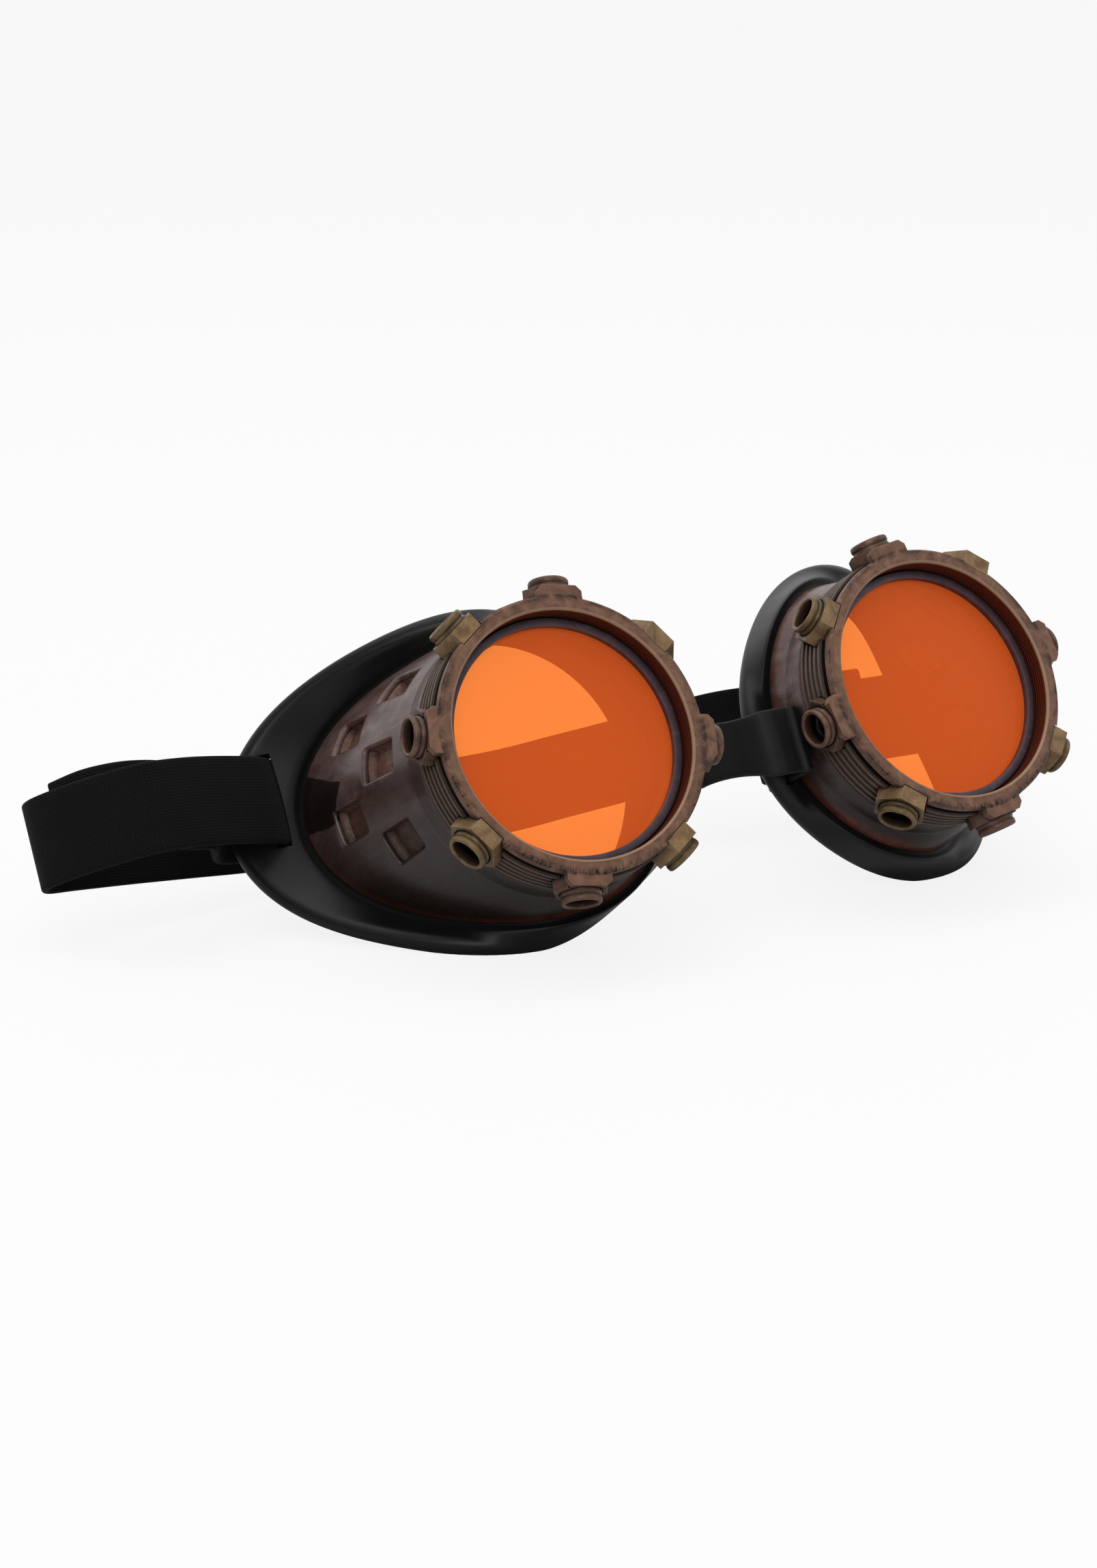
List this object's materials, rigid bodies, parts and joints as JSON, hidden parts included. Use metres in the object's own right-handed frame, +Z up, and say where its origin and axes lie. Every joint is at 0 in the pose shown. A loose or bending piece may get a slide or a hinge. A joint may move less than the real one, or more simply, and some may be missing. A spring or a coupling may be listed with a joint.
{
  "type": "goggles",
  "caption": "Round-lens goggles with amber lenses, bronze rims set with hollow hex studs, brown vented eyecups, black rubber face pads and an elastic head strap.",
  "frame": {"origin": "On the table plane, under the middle of the whole outline. The goggles rest on the lower edges of both face pads, tilted back 31 degrees as pictured.", "axes": "+Z up, +X from the left-hand cup of the picture to the right-hand cup, -Y towards the lenses' front."},
  "size_m": [0.2377, 0.0967, 0.0757],
  "materials": {
    "shell_brown": "glossy dark brown moulding with a lilac-grey wash and soft mottling",
    "bronze_paint": "satin bronze paint on plastic, dark wash in the corners, rubbed edges",
    "brass_paint": "satin olive-brass paint on plastic, dark wash in the corners",
    "amber_lens": "clear amber tint, polished",
    "retainer_grey": "satin purple-grey",
    "louvre_brown": "glossy orange-brown, ribbed",
    "black_rubber": "smooth black rubber with a soft grey sheen",
    "black_elastic": "knitted black elastic",
    "slider_black": "satin black moulding"
  },
  "bodies": {
    "left_cup": {"left_eyecup_shell": "shell_brown", "left_bezel_ring": "bronze_paint", "left_bronze_nuts": "bronze_paint", "left_bronze_studs": "bronze_paint", "left_brass_nuts": "brass_paint", "left_brass_studs": "brass_paint", "left_lens": "amber_lens", "left_lens_retainer": "retainer_grey", "left_lens_gasket": "black_rubber", "left_vent_louvres": "louvre_brown", "left_face_pad": "black_rubber", "nose_bridge": "black_rubber", "head_strap": "black_elastic"},
    "right_cup": {"right_eyecup_shell": "shell_brown", "right_bezel_ring": "bronze_paint", "right_bronze_nuts": "bronze_paint", "right_bronze_studs": "bronze_paint", "right_brass_nuts": "brass_paint", "right_brass_studs": "brass_paint", "right_lens": "amber_lens", "right_lens_retainer": "retainer_grey", "right_lens_gasket": "black_rubber", "right_vent_louvres": "louvre_brown", "right_face_pad": "black_rubber"},
    "slider": {"strap_slider": "slider_black"}
  },
  "joints": [
    {"name": "bridge_flex", "type": "hinge", "parent": "left_cup", "child": "right_cup", "pos_m": [0.01745, -0.01834, 0.0348], "axis": [0, 0.515, 0.8572], "range_deg": [-25, 30], "stiffness_Nm_per_rad": 0.01, "deforming": ["nose_bridge", "head_strap"]},
    {"name": "slider_slide", "type": "slide", "parent": "right_cup", "child": "slider", "axis": [1, 0, 0], "range_m": [-0.004, 0.006]}
  ]
}
